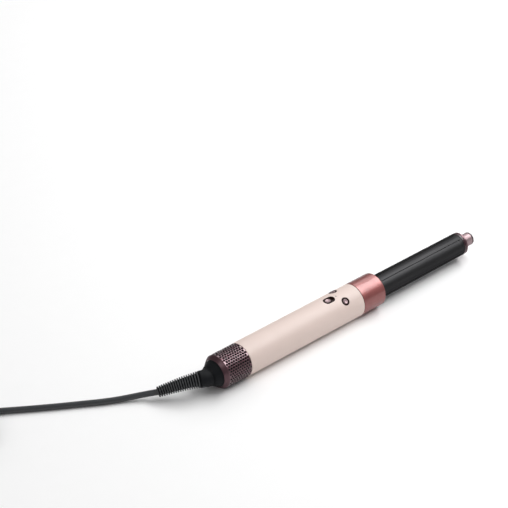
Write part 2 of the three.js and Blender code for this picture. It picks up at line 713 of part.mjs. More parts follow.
// ---------------------------------------------------------------- build
addHandleShell();
addSlider();
Object.entries(BUTTON_ANGLES).forEach(([name, angle]) => addButton(name, angle));
addIndicator();
addControlBoard();
addReleaseCatch();
addFilterCage();
addFineFilter();
addIntakeFrame();
addCableStalk();
addEndCone();
addMotorCase();
addImpeller();
addBearings();
addStator();
addHeater();
addNeck();
addCollar();
addCouplingBase();
addBarrel();
addDirectionKnob();
addStrainRelief();
addLead();
addTie();
addPlug();

export default curler;
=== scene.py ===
import json
import math

import bmesh
import bpy
import numpy as np
from mathutils import Matrix, Vector


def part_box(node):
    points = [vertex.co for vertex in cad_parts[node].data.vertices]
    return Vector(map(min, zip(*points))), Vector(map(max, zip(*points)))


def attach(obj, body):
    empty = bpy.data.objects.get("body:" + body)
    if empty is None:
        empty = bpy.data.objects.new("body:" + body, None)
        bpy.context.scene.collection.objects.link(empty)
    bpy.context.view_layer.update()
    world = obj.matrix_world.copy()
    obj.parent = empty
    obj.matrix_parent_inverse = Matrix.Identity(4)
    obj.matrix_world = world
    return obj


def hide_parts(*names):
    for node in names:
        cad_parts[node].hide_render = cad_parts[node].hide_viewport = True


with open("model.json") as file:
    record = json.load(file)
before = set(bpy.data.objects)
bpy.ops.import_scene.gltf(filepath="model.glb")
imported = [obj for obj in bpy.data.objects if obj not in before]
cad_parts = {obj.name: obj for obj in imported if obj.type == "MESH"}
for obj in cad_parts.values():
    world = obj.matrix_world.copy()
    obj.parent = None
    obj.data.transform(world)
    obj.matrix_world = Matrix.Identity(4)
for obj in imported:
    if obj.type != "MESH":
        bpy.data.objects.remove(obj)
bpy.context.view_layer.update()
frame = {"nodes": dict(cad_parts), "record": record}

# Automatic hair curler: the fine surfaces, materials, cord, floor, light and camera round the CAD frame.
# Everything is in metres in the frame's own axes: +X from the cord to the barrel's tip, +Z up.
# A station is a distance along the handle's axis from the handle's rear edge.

MM = 0.001
DEGREE = math.pi / 180
TURN = 2 * math.pi
SCENE = bpy.context.scene

# ---------------------------------------------------------------- the frame's own sizes
SHELL_LOW, SHELL_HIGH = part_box("handle_shell")
REAR = SHELL_LOW.x
RADIUS = (SHELL_HIGH.z - SHELL_LOW.z) / 2
AXIS_HEIGHT = SHELL_LOW.z + RADIUS
SIDES = 192  # facets round the large round pieces
SMALL_SIDES = 64


def span(node):
    """Rear end, front end and outer radius of a CAD node that is round about the handle's axis."""
    low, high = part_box(node)
    return low.x, high.x, (high.z - low.z) / 2


def middle_station(node):
    """Station of the middle of a CAD node."""
    low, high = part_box(node)
    return (low.x + high.x) / 2 - REAR


def half_length(node):
    """Half of a CAD node's length in X."""
    low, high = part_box(node)
    return (high.x - low.x) / 2


# ---------------------------------------------------------------- camera
CAMERA_PLACE = Vector((-1.3908, -1.3607, 1.3297))
CAMERA_TARGET = Vector((0.0205, 0.1757, 0.00065))
SENSOR_WIDTH = 36.0  # millimetres, as for the lens
LENS = 141.73
VIEW_DEPTH = 50.0


def add_camera():
    data = bpy.data.cameras.new("studio_camera")
    data.sensor_width = SENSOR_WIDTH
    data.lens = LENS
    data.clip_end = VIEW_DEPTH
    camera = bpy.data.objects.new("studio_camera", data)
    SCENE.collection.objects.link(camera)
    camera.location = CAMERA_PLACE
    camera.rotation_mode = "QUATERNION"
    camera.rotation_quaternion = (CAMERA_TARGET - CAMERA_PLACE).to_track_quat("-Z", "Y")
    SCENE.camera = camera


add_camera()


# ---------------------------------------------------------------- materials
NOISE_LOW, NOISE_HIGH = 0.3, 0.7  # nearly all of a noise texture's values lie between these
WAVE_LENGTH = 0.314  # from band to band of a wave texture at a scale of 1
LEAST_ROUGHNESS = 0.02
FINE_GRAIN = 0.003 * MM
SOFT_GRAIN = 0.008 * MM
RUBBER_GRAIN = 0.012 * MM
COARSE_GRAIN = 0.02 * MM
RUBBER_GRAIN_SCALE = 1800.0


def linear(red, green, blue):
    """A colour given as 0 to 255 on screen, as the linear colour that shaders take."""
    parts = [value / 255 for value in (red, green, blue)]
    curve = [p / 12.92 if p <= 0.04045 else ((p + 0.055) / 1.055) ** 2.4 for p in parts]
    return (*curve, 1.0)


def shade(color, factor):
    return (*[min(1.0, part * factor) for part in color[:3]], 1.0)


def add_noise(tree, vector, scale, detail=3.0):
    node = tree.nodes.new("ShaderNodeTexNoise")
    node.inputs["Scale"].default_value = scale
    node.inputs["Detail"].default_value = detail
    tree.links.new(vector, node.inputs["Vector"])
    return node.outputs["Fac"]


def add_range(tree, value, low, high):
    """Spreads a noise's values over low to high."""
    node = tree.nodes.new("ShaderNodeMapRange")
    node.inputs["From Min"].default_value = NOISE_LOW
    node.inputs["From Max"].default_value = NOISE_HIGH
    node.inputs["To Min"].default_value = low
    node.inputs["To Max"].default_value = high
    tree.links.new(value, node.inputs["Value"])
    return node.outputs["Result"]


def add_bump(tree, height, depth, normal=None):
    node = tree.nodes.new("ShaderNodeBump")
    node.inputs["Distance"].default_value = depth
    tree.links.new(height, node.inputs["Height"])
    if normal is not None:
        tree.links.new(normal, node.inputs["Normal"])
    return node.outputs["Normal"]


def finish_material(
    name,
    color,
    roughness,
    metallic=0.0,
    mottle=0.05,
    mottle_scale=45.0,
    grain_scale=2500.0,
    grain_depth=0.004 * MM,
    wear=0.05,
    stretch=(1.0, 1.0, 1.0),
    coat=0.0,
    coat_roughness=0.1,
    specular=0.5,
    sheen=0.0,
    edge=1.0,
):
    """A moulded, painted or metal finish: its colour and gloss drift a little, with a fine grain."""
    material = bpy.data.materials.new(name)
    material.use_nodes = True
    tree = material.node_tree
    shader = tree.nodes["Principled BSDF"]
    shader.inputs["Metallic"].default_value = metallic
    shader.inputs["Coat Weight"].default_value = coat
    shader.inputs["Coat Roughness"].default_value = coat_roughness
    shader.inputs["Specular IOR Level"].default_value = specular
    shader.inputs["Sheen Weight"].default_value = sheen
    shader.inputs["Specular Tint"].default_value = (edge, edge, edge, 1.0)
    place = tree.nodes.new("ShaderNodeTexCoord")
    stretched = tree.nodes.new("ShaderNodeMapping")
    stretched.inputs["Scale"].default_value = stretch
    tree.links.new(place.outputs["Object"], stretched.inputs["Vector"])
    vector = stretched.outputs["Vector"]
    drift = add_noise(tree, vector, mottle_scale)
    ramp = tree.nodes.new("ShaderNodeValToRGB")
    ramp.color_ramp.elements[0].position = NOISE_LOW
    ramp.color_ramp.elements[1].position = NOISE_HIGH
    ramp.color_ramp.elements[0].color = shade(color, 1 - mottle)
    ramp.color_ramp.elements[1].color = shade(color, 1 + mottle)
    tree.links.new(drift, ramp.inputs["Fac"])
    tree.links.new(ramp.outputs["Color"], shader.inputs["Base Color"])
    smears = add_noise(tree, vector, mottle_scale * 3, detail=5.0)
    gloss = add_range(tree, smears, max(LEAST_ROUGHNESS, roughness - wear), roughness + wear)
    tree.links.new(gloss, shader.inputs["Roughness"])
    grain = add_noise(tree, vector, grain_scale, detail=2.0)
    tree.links.new(add_bump(tree, grain, grain_depth), shader.inputs["Normal"])
    return material


def add_weave(material, pitch, depth):
    """Adds a woven wire or tape pattern of that pitch to a material's bump."""
    tree = material.node_tree
    shader = tree.nodes["Principled BSDF"]
    place = tree.nodes.new("ShaderNodeTexCoord")
    waves = []
    for direction in ("X", "Z"):
        wave = tree.nodes.new("ShaderNodeTexWave")
        wave.bands_direction = direction
        wave.inputs["Scale"].default_value = WAVE_LENGTH / pitch
        tree.links.new(place.outputs["Object"], wave.inputs["Vector"])
        waves.append(wave.outputs["Fac"])
    both = tree.nodes.new("ShaderNodeMath")
    both.operation = "MULTIPLY"
    tree.links.new(waves[0], both.inputs[0])
    tree.links.new(waves[1], both.inputs[1])
    before = shader.inputs["Normal"].links[0].from_socket
    tree.links.new(add_bump(tree, both.outputs["Value"], depth, before), shader.inputs["Normal"])
    return material


BLUSH = finish_material(
    "blush_paint", linear(219, 200, 192), 0.45, mottle=0.012, grain_depth=FINE_GRAIN, specular=0.4
)
ROSE = finish_material(
    "rose_anodised",
    linear(146, 84, 82),
    0.55,
    metallic=0.9,
    mottle=0.03,
    coat=1.0,
    coat_roughness=0.26,
    edge=0.2,
)
PLUM = finish_material(
    "plum_anodised",
    linear(94, 66, 73),
    0.36,
    metallic=0.8,
    mottle=0.08,
    coat=1.0,
    coat_roughness=0.08,
    edge=0.3,
)
PLUM_DARK = finish_material(
    "plum_bevel",
    linear(88, 62, 68),
    0.42,
    metallic=0.8,
    mottle=0.08,
    coat=0.4,
    coat_roughness=0.25,
    edge=0.3,
)
GRAPHITE = finish_material(
    "graphite_satin",
    linear(52, 52, 53),
    0.46,
    metallic=0.8,
    mottle=0.12,
    mottle_scale=220.0,
    stretch=(0.04, 1, 1),
    specular=0.2,
    edge=0.2,
)
BURGUNDY = finish_material("burgundy_gloss", linear(48, 22, 30), 0.3, mottle=0.1, specular=0.4)
PALE_PINK = finish_material(
    "pale_pink_metal", linear(112, 88, 93), 0.36, metallic=0.9, mottle=0.04, edge=0.3
)
KNOB_GREY = finish_material(
    "knob_satin", linear(154, 133, 136), 0.4, metallic=0.55, mottle=0.05, edge=0.5
)
DARK = finish_material("dark_moulding", linear(46, 38, 41), 0.45, mottle=0.12, grain_depth=SOFT_GRAIN)
DARK_GLOSS = finish_material(
    "dark_ring_gloss", linear(36, 18, 15), 0.42, mottle=0.08, specular=0.1
)
GREY = finish_material(
    "glass_filled_nylon", linear(141, 139, 140), 0.6, mottle=0.08, grain_depth=COARSE_GRAIN
)
CLEAR = finish_material("light_pipe", linear(176, 168, 162), 0.3, mottle=0.04, coat=0.5)
RUBBER = finish_material(
    "black_rubber",
    linear(17, 19, 22),
    0.6,
    mottle=0.15,
    grain_scale=RUBBER_GRAIN_SCALE,
    grain_depth=RUBBER_GRAIN,
    specular=0.15,
)
# a lighter copy of the sleeve's black rubber for the rib crests: a painted highlight
RIB_CREST_HIGHLIGHT = finish_material(
    "rib_crest_painted_highlight",
    linear(64, 66, 68),
    0.45,
    mottle=0.12,
    grain_scale=RUBBER_GRAIN_SCALE,
    grain_depth=0.01 * MM,
    specular=0.5,
)
SHEATH = finish_material(
    "cord_sheath", linear(54, 56, 58), 0.4, mottle=0.08, grain_depth=SOFT_GRAIN, specular=0.5
)
TAPE = finish_material("tie_tape", linear(34, 34, 37), 0.85, mottle=0.12, specular=0.3, sheen=0.4)
STEEL = finish_material("bright_steel", linear(196, 198, 202), 0.25, metallic=1.0, mottle=0.04)
COPPER = finish_material("enamelled_copper", linear(176, 98, 55), 0.35, metallic=1.0, mottle=0.1)
MAGNET = finish_material(
    "sintered_magnet", linear(78, 80, 84), 0.5, metallic=0.8, grain_depth=COARSE_GRAIN
)
MICA = finish_material("mica_sheet", linear(202, 188, 156), 0.65, mottle=0.15, mottle_scale=400.0)
BOARD = finish_material("printed_board", linear(30, 88, 56), 0.4, mottle=0.15, mottle_scale=700.0)
# near-black wire mesh: painted shade for the inside of the cage, seen through its holes
FINE_MESH_SHADE = finish_material(
    "fine_wire_mesh_painted_shade", linear(12, 9, 10), 0.6, metallic=0.3, mottle=0.1, specular=0.2
)
# the holes' walls: a near-black copy of the cage's plum metal, painted shade inside the holes
HOLE_PAINTED_SHADE = finish_material(
    "hole_walls_painted_shade", linear(30, 20, 23), 0.5, metallic=0.4, mottle=0.1, specular=0.2
)
DOT_ENAMEL = finish_material("dot_enamel", linear(244, 232, 216), 0.35, mottle=0.03)

add_weave(FINE_MESH_SHADE, pitch=0.25 * MM, depth=0.05 * MM)
add_weave(TAPE, pitch=0.6 * MM, depth=0.08 * MM)

CAD_FINISHES = {
    "blush_plastic": BLUSH,
    "rose_metal": ROSE,
    "plum_metal": PLUM,
    "graphite": GRAPHITE,
    "burgundy": BURGUNDY,
    "pale_pink": PALE_PINK,
    "knob_grey": KNOB_GREY,
    "dark_plastic": DARK,
    "grey_plastic": GREY,
    "clear_nylon": CLEAR,
    "rubber": RUBBER,
    "cord": SHEATH,
    "steel": STEEL,
    "copper": COPPER,
    "magnet": MAGNET,
    "mica": MICA,
    "board": BOARD,
    "fine_mesh": FINE_MESH_SHADE,
}


def finish_cad_nodes():
    """Gives every CAD node the finish of its material slot."""
    for subpart in frame["record"]["subparts"]:
        mesh = frame["nodes"][subpart["node"]].data
        mesh.materials.clear()
        mesh.materials.append(CAD_FINISHES[subpart["material_slot"]])


finish_cad_nodes()


# ---------------------------------------------------------------- shape helpers
def rounded(points, steps=6):
    """A closed outline from (x, radius) corners, or (x, radius, rounding) where the corner is an arc."""
    outline = []
    for i, (x, r, *rounding) in enumerate(points):
        if not rounding:
            outline.append((x, r))
            continue
        corner = Vector((x, r))
        back = (Vector(points[i - 1][:2]) - corner).normalized()
        ahead = (Vector(points[(i + 1) % len(points)][:2]) - corner).normalized()
        half = back.angle(ahead) / 2
        centre = corner + (back + ahead).normalized() * rounding[0] / math.sin(half)
        first = corner + back * rounding[0] / math.tan(half) - centre
        last = corner + ahead * rounding[0] / math.tan(half) - centre
        sweep = math.pi - 2 * half
        for k in range(steps + 1):
            t = k / steps
            mix = first * math.sin((1 - t) * sweep) + last * math.sin(t * sweep)
            point = centre + mix / math.sin(sweep)
            outline.append((point.x, point.y))
    return outline


def join_rings(bm, rings, closed):
    """Faces between rings of vertices. A ring of one vertex is a point on the axis."""
    following = rings[1:] + rings[:1] if closed else rings[1:]
    for near, far in zip(rings, following):
        count = max(len(near), len(far))
        if count == 1:
            continue
        for i in range(count):
            j = (i + 1) % count
            corners = [near[i % len(near)], near[j % len(near)], far[j % len(far)], far[i % len(far)]]
            bm.faces.new(list(dict.fromkeys(corners)))


def close_ends(bm, rings):
    bm.faces.new(rings[0])
    bm.faces.new(rings[-1])


def round_point(x, radius, angle):
    """A point round the handle's axis; the angle is from straight up towards -Y."""
    return (x, -radius * math.sin(angle), AXIS_HEIGHT + radius * math.cos(angle))


def revolve(profile, sides=SIDES):
    """A solid turned about the handle's axis from a closed outline, or one with its ends on the axis."""
    bm = bmesh.new()
    rings = []
    for x, radius in profile:
        count = sides if radius > 1e-6 else 1
        rings.append([bm.verts.new(round_point(x, radius, TURN * i / count)) for i in range(count)])
    join_rings(bm, rings, closed=True)
    return bm


def pill_outline(half_long, half_wide, count=SMALL_SIDES):
    """Points round a pill that is long in X, or a circle where both halves are the same."""
    straight = half_long - half_wide
    points = []
    for i in range(count):
        angle = TURN * (i + 0.5) / count
        side = math.copysign(straight, math.cos(angle))
        points.append((side + half_wide * math.cos(angle), half_wide * math.sin(angle)))
    return points


def drape(y, height):
    """The height above the axis of a point that follows the handle's round surface."""
    return height + math.sqrt(RADIUS**2 - min(abs(y), RADIUS) ** 2) - RADIUS


def stacked_pills(x, half_long, half_wide, levels, closed, angle):
    """A solid standing out of the handle: a pill at each (inset, height) level, draped over it."""
    bm = bmesh.new()
    place = Matrix.Translation((REAR, 0, AXIS_HEIGHT)) @ Matrix.Rotation(angle, 4, "X")
    rings = []
    for inset, height in levels:
        outline = pill_outline(half_long - inset, half_wide - inset)
        spots = [place @ Vector((x + px, py, drape(py, height))) for px, py in outline]
        rings.append([bm.verts.new(spot) for spot in spots])
    join_rings(bm, rings, closed)
    if not closed:
        close_ends(bm, rings)
    return bm


def to_mesh(name, bm):
    bmesh.ops.recalc_face_normals(bm, faces=bm.faces)
    mesh = bpy.data.meshes.new(name)
    bm.to_mesh(mesh)
    bm.free()
    return mesh


def carved(name, bm, cutters):
    """The mesh of a solid with other solids cut out of it."""
    base = bpy.data.objects.new(name, to_mesh(name, bm))
    SCENE.collection.objects.link(base)
    tools = []
    for cutter in cutters:
        tool = bpy.data.objects.new(name, to_mesh(name, cutter))
        SCENE.collection.objects.link(tool)
        modifier = base.modifiers.new("cut", "BOOLEAN")
        modifier.operation = "DIFFERENCE"
        modifier.solver = "EXACT"
        modifier.object = tool
        tools.append(tool)
    evaluated = base.evaluated_get(bpy.context.evaluated_depsgraph_get())
    mesh = bpy.data.meshes.new_from_object(evaluated)
    for spare in [base, *tools]:
        bpy.data.objects.remove(spare)
    return mesh


def add_piece(name, shape, finish, body, replaced=(), sharp=38 * DEGREE):
    """A finished piece of the object, which rides on a CAD body and stands for the named CAD nodes."""
    mesh = shape if isinstance(shape, bpy.types.Mesh) else to_mesh(name, shape)
    mesh.materials.append(finish)
    mesh.polygons.foreach_set("use_smooth", [True] * len(mesh.polygons))
    mesh.set_sharp_from_angle(angle=sharp)
    piece = bpy.data.objects.new(name, mesh)
    SCENE.collection.objects.link(piece)
    shading = piece.modifiers.new("even_shading", "WEIGHTED_NORMAL")
    shading.keep_sharp = True
    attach(piece, body)
    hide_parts(*replaced)
    return piece


# ---------------------------------------------------------------- paths and tubes
def bezier(points, count):
    """Points along a cubic Bezier curve."""
    a, b, c, d = [Vector(p) for p in points]
    result = []
    for i in range(count + 1):
        t = i / count
        u = 1 - t
        result.append(a * u**3 + b * (3 * u * u * t) + c * (3 * u * t * t) + d * t**3)
    return result


def smooth_path(points, step):
    """Points about a step apart on the centripetal Catmull-Rom curve through the given points."""
    points = [Vector(p) for p in points]
    points = [points[0] * 2 - points[1], *points, points[-1] * 2 - points[-2]]
    result = [points[1]]
    for p0, p1, p2, p3 in zip(points, points[1:], points[2:], points[3:]):
        t1 = (p1 - p0).length ** 0.5
        t2 = t1 + (p2 - p1).length ** 0.5
        t3 = t2 + (p3 - p2).length ** 0.5
        count = max(1, round((p2 - p1).length / step))
        for i in range(1, count + 1):
            t = t1 + (t2 - t1) * i / count
            a1 = p0.lerp(p1, t / t1)
            a2 = p1.lerp(p2, (t - t1) / (t2 - t1))
            a3 = p2.lerp(p3, (t - t2) / (t3 - t2))
            b1 = a1.lerp(a2, t / t2)
            b2 = a2.lerp(a3, (t - t1) / (t3 - t1))
            result.append(b1.lerp(b2, (t - t1) / (t2 - t1)))
    return result


def lengths_along(path):
    """The distance along a path to each of its points."""
    steps = [(b - a).length for a, b in zip(path, path[1:])]
    return np.cumsum([0.0, *steps])


def sweep(path, radii, sides):
    """A closed tube along a path with a radius at each of its points, without twist."""
    bm = bmesh.new()
    rings = []
    across = Vector((0, 0, 1))
    for i, centre in enumerate(path):
        along = (path[min(i + 1, len(path) - 1)] - path[max(i - 1, 0)]).normalized()
        across = (across - along * across.dot(along)).normalized()
        other = along.cross(across)
        ring = []
        for k in range(sides):
            angle = TURN * k / sides
            out = across * math.cos(angle) + other * math.sin(angle)
            ring.append(bm.verts.new(centre + out * radii[i]))
        rings.append(ring)
    join_rings(bm, rings, closed=False)
    close_ends(bm, rings)
    return bm


# ---------------------------------------------------------------- mains lead
CORD_RADIUS = 3.5 * MM
CORD_SIDES = 20
PATH_STEP = 3.0 * MM
CORD_EXIT = Vector((-0.2108, 0.0, 0.0205))
# control points of the curve that the lead follows inside its sleeve
RELIEF_POINTS = [
    CORD_EXIT,
    (-0.2175, 0, 0.0205),
    (-0.222, 0.0005, 0.0255),
    (-0.2595, 0.0279, 0.0094),
]
RUN_POINTS = [
    (-0.2602, 0.0285, 0.0092),
    (-0.2678, 0.0348, 0.0074),
    (-0.2793, 0.0425, 0.0057),
    (-0.2933, 0.0507, 0.0043),
    (-0.3093, 0.0601, 0.0037),
    (-0.3316, 0.0746, 0.0035),
    (-0.3549, 0.0897, 0.0035),
    (-0.3793, 0.1062, 0.0036),
    (-0.4054, 0.1243, 0.0039),
    (-0.4295, 0.1406, 0.0045),
]
COIL_CENTRE = Vector((-0.4811, 0.12, 0.0))
COIL_MIDDLE = 38.1 * MM
COIL_BASE = 1.1 * MM
COIL_LAYERS = 4
COIL_TURNS = 9
TURNS_ACROSS = 2  # full turns in which a layer spirals from its outer to its inner side
CLIMB_ANGLE = 120 * DEGREE  # over which the cord rises to the next layer
ENTRY_ANGLE = 55.3 * DEGREE
EXIT_ANGLE = 174 * DEGREE
COIL_STEPS = 54  # points in each turn
# the short end's distances past the coil, and how far it has sunk there below the coil's top turn, in mm
LEAD_RUN = [0, 14, 24, 38, 52, 66, 80]
LEAD_DROPS = [0, 0, 1.6, 7.2, 13.8, 16.4, 17.1]
RELIEF_NECK = 9.0 * MM  # length in which the sleeve narrows from the cone's neck
NECK_RADIUS = 10.9 * MM
RELIEF_THICK = 9.7 * MM
RELIEF_THIN = 6.2 * MM
RELIEF_SIDES = 48
RIB_COUNT = 18
RIBS_START = 10.5 * MM
RIB_DEPTH = 2.0 * MM


def coil_point(angle, radius, height):
    return COIL_CENTRE + Vector((radius * math.cos(angle), radius * math.sin(angle), height))


def coil_path():
    """Layer on layer of a flat spiral, in and out by turns, with a gentle climb between the layers."""
    inner = COIL_MIDDLE - 2 * CORD_RADIUS
    outer = COIL_MIDDLE + 2 * CORD_RADIUS
    layer_angle = TURNS_ACROSS * TURN
    last_angle = (EXIT_ANGLE - ENTRY_ANGLE) + COIL_TURNS * TURN
    points = []
    count = round(last_angle / TURN * COIL_STEPS)
    for i in range(count + 1):
        turned = last_angle * i / count
        layer = min(COIL_LAYERS - 1, int(turned / (layer_angle + CLIMB_ANGLE)))
        within = turned - layer * (layer_angle + CLIMB_ANGLE)
        across = min(1.0, within / layer_angle)
        climb = max(0.0, (within - layer_angle) / CLIMB_ANGLE) if layer < COIL_LAYERS - 1 else 0.0
        rise = climb * climb * (3 - 2 * climb)
        inward = layer % 2 == 0
        radius = outer + (inner - outer) * across if inward else inner + (outer - inner) * across
        height = COIL_BASE + CORD_RADIUS * (1 + 2 * (layer + rise))
        points.append(coil_point(ENTRY_ANGLE + turned, radius, height))
    return points


def lead_points():
    """The short end from the coil's top turn down to the plug."""
    outward = Vector((math.cos(EXIT_ANGLE), math.sin(EXIT_ANGLE), 0))
    along = Vector((-outward.y, outward.x, 0))
    start = coil_point(EXIT_ANGLE, COIL_MIDDLE + 2 * CORD_RADIUS, 0)
    top = COIL_BASE + CORD_RADIUS * (2 * COIL_LAYERS - 1)
    points = []
    for run, drop in zip(LEAD_RUN, LEAD_DROPS):
        points.append(start + along * run * MM + Vector((0, 0, top - drop * MM)))
    return points


def add_lead():
    relief = bezier(RELIEF_POINTS, 18)
    coil = coil_path()
    run = smooth_path([relief[-1], *RUN_POINTS[1:], coil[0]], PATH_STEP)
    lead = smooth_path(lead_points(), PATH_STEP)
    path = [*relief[:-1], *run[:-1], *coil, *lead[1:]]
    shape = sweep(path, [CORD_RADIUS] * len(path), CORD_SIDES)
    stands_for = ["cord_tube", "cord_coil", "cord_lead"]
    return add_piece("mains_lead", shape, SHEATH, "handle", stands_for), path


def relief_radius(along, length):
    """The sleeve narrows quickly from the cone's neck, then evenly to the cord."""
    past = along - RELIEF_NECK
    if past < 0:
        return RELIEF_THICK + (NECK_RADIUS - RELIEF_THICK) * (past / RELIEF_NECK) ** 2
    return RELIEF_THICK + (RELIEF_THIN - RELIEF_THICK) * past / (length - RELIEF_NECK)


def relief_stations(length):
    """Distances along the sleeve, and how far each is cut below the sleeve's own radius."""
    end_rounding = 0.3 * MM
    stations = [0.0, 0.3 * MM, 1.5 * MM, 3.0 * MM, 5.0 * MM, 7.0 * MM]
    insets = [end_rounding, 0.0, 0.0, 0.0, 0.0, 0.0]
    # along one rib, as shares of its length and of the groove's depth: the groove, then the flat crest
    groove = [(0.0, 0.0), (0.04, 0.2), (0.08, 0.9), (0.12, 1.0), (0.5, 1.0), (0.54, 0.9), (0.58, 0.2)]
    crest = [(0.62, 0.0)]
    pitch = (length - RIBS_START) / RIB_COUNT
    for rib in range(RIB_COUNT):
        for share, depth in groove + crest:
            stations.append(RIBS_START + (rib + share) * pitch)
            insets.append(RIB_DEPTH * depth)
    return [*stations, length], [*insets, end_rounding]


def add_relief():
    """The ribbed rubber sleeve where the lead leaves the rear cone."""
    path = bezier(RELIEF_POINTS, 400)
    along = lengths_along(path)
    length = along[-1]
    stations, insets = relief_stations(length)
    columns = [np.interp(stations, along, [point[k] for point in path]) for k in range(3)]
    centres = [Vector((float(x), float(y), float(z))) for x, y, z in zip(*columns)]
    radii = [relief_radius(station, length) - inset for station, inset in zip(stations, insets)]
    shape = sweep(centres, radii, RELIEF_SIDES)
    shape.faces.ensure_lookup_table()
    # crests and upper groove walls take the lighter rubber, a painted highlight; the groove floors keep
    # the dark rubber as painted shade
    for i in range(len(stations) - 1):
        if stations[i] > RIBS_START and insets[i] + insets[i + 1] < RIB_DEPTH:
            for face in shape.faces[i * RELIEF_SIDES:(i + 1) * RELIEF_SIDES]:
                face.material_index = 1
    sharp = 25 * DEGREE
    relief = add_piece("ribbed_relief", shape, RUBBER, "handle", ["strain_relief"], sharp)
    relief.data.materials.append(RIB_CREST_HIGHLIGHT)
    return relief


def add_tie():
    """A tape round the coil's section: a rounded loop, swept as a flat band."""
    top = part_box("cord_tie")[1].z
    angle = -60 * DEGREE
    thickness = 0.8 * MM
    half_width = 6 * MM
    bend = 2 * MM
    inner = COIL_MIDDLE - 3 * CORD_RADIUS - 1.2 * MM
    outer = COIL_MIDDLE + 3 * CORD_RADIUS + 0.6 * MM
    corners = [
        (inner, thickness, bend),
        (outer, thickness, bend),
        (outer, top - thickness, bend),
        (inner, top - thickness, bend),
    ]
    bm = bmesh.new()
    out = Vector((math.cos(angle), math.sin(angle), 0))
    side = Vector((-out.y, out.x, 0))
    middle = Vector(((inner + outer) / 2, top / 2))
    rings = []
    outline = [Vector(p) for p in rounded(corners)]
    for i, point in enumerate(outline):
        tangent = (outline[(i + 1) % len(outline)] - outline[i - 1]).normalized()
        normal = Vector((tangent.y, -tangent.x))
        if normal.dot(point - middle) < 0:
            normal = -normal
        raised = point + normal * thickness
        section = [(point, -1), (raised, -1), (raised, 1), (point, 1)]
        ring = []
        for spot, sign in section:
            place = COIL_CENTRE + out * spot.x + side * (sign * half_width)
            ring.append(bm.verts.new((place.x, place.y, spot.y)))
        rings.append(ring)
    join_rings(bm, rings, closed=True)
    return add_piece("coil_tape", bm, TAPE, "handle", ["cord_tie"])


# ---------------------------------------------------------------- plug
PLUG_SIDES = 64
PIN_SIDES = 32
PLUG_HEIGHT = 17 * MM
PIN_SPACING = 19 * MM
# station from the cord's end, half width, half height and corner rounding of the body, in millimetres
PLUG_SECTIONS = [
    (0.3, 4.6, 4.9, 4.5),
    (1.0, 5.2, 5.5, 4.9),
    (6.0, 6.2, 6.3, 5.2),
    (13.0, 8.0, 7.2, 5.6),
    (17.0, 11.2, 8.0, 5.6),
    (21.0, 14.2, 8.5, 5.4),
    (26.0, 15.0, 8.5, 5.2),
    (36.6, 15.0, 8.5, 5.2),
    (37.6, 14.6, 8.1, 5.0),
    (38.0, 13.8, 7.4, 4.6),
]
# station and radius of a contact pin, in millimetres: a fine groove half way, and a rounded end
PIN_PROFILE = [(38.0, 2.4), (38.3, 2.4), (48.0, 2.4), (48.05, 2.2), (48.3, 2.2), (48.35, 2.4), (55.4, 2.4)]
PIN_PROFILE += [(55.4 + 1.6 * math.sin(a), 0.8 + 1.6 * math.cos(a)) for a in (0.4, 0.8, 1.2, math.pi / 2)]


def plug_matrix():
    end = lead_points()[-1]
    return Matrix.Translation((end.x, end.y, 0)) @ Matrix.Rotation(EXIT_ANGLE + math.pi / 2, 4, "Z")


def add_plug():
    """The plug's moulded body: a soft-cornered section that widens from the cord to its face."""
    bm = bmesh.new()
    place = plug_matrix()
    middle = PLUG_HEIGHT / 2
    rings = []
    for x, half_width, half_height, corner in PLUG_SECTIONS:
        ring = []
        for i in range(PLUG_SIDES):
            angle = TURN * (i + 0.5) / PLUG_SIDES
            y = math.copysign(half_width - corner, math.cos(angle)) + corner * math.cos(angle)
            z = math.copysign(half_height - corner, math.sin(angle)) + corner * math.sin(angle)
            ring.append(bm.verts.new(place @ Vector((x * MM, y * MM, middle + z * MM))))
        rings.append(ring)
    join_rings(bm, rings, closed=False)
    close_ends(bm, rings)
    return add_piece("plug_moulding", bm, RUBBER, "handle", ["plug_body"])


def add_pin(number, side):
    bm = bmesh.new()
    place = plug_matrix()
    rings = []
    for x, radius in PIN_PROFILE:
        ring = []
        for i in range(PIN_SIDES):
            angle = TURN * i / PIN_SIDES
            y = side * PIN_SPACING / 2 + radius * MM * math.cos(angle)
            z = PLUG_HEIGHT / 2 + radius * MM * math.sin(angle)
            ring.append(bm.verts.new(place @ Vector((x * MM, y, z))))
        rings.append(ring)
    join_rings(bm, rings, closed=False)
    close_ends(bm, rings)
    return add_piece(f"plug_contact_{number}", bm, STEEL, "handle", [f"plug_pin_{number}"])


cord, cord_path = add_lead()
cord_pieces = [add_relief(), add_tie(), add_plug(), add_pin(1, -1), add_pin(2, 1)]

# ---------------------------------------------------------------- handle shell and controls
WALL = 2.0 * MM
GAP = 0.3 * MM
PLAY = 0.12 * MM  # between a control's surround and the shell
CONTROL_ANGLE = 6.5 * DEGREE  # of the row of controls, from straight up towards -Y
BUTTON_SPREAD = 32 * DEGREE
BUTTON_ANGLES = {"airflow": CONTROL_ANGLE + BUTTON_SPREAD, "temperature": CONTROL_ANGLE - BUTTON_SPREAD}
BUTTON_STATION = middle_station("airflow_bezel")
BUTTON_RING = half_length("airflow_bezel")
BUTTON_CAP = 3.05 * MM
SLIDER_STATION = middle_station("slider_bezel")
SLOT_HALF_LENGTH = half_length("slider_bezel")
SLOT_HALF_WIDTH = 4.9 * MM
OPENING_HALF_LENGTH = 6.3 * MM
OPENING_HALF_WIDTH = 3.2 * MM
LIGHT_STATION = middle_station("indicator_light")
LIGHT_RADIUS = half_length("indicator_light")
CATCH_STATION = middle_station("release_catch")
CATCH_ANGLE = CONTROL_ANGLE + math.pi
CATCH_TRAVEL = 3.0 * MM
CATCH_HALF_LENGTH = half_length("release_catch")
CATCH_HALF_WIDTH = 3.2 * MM
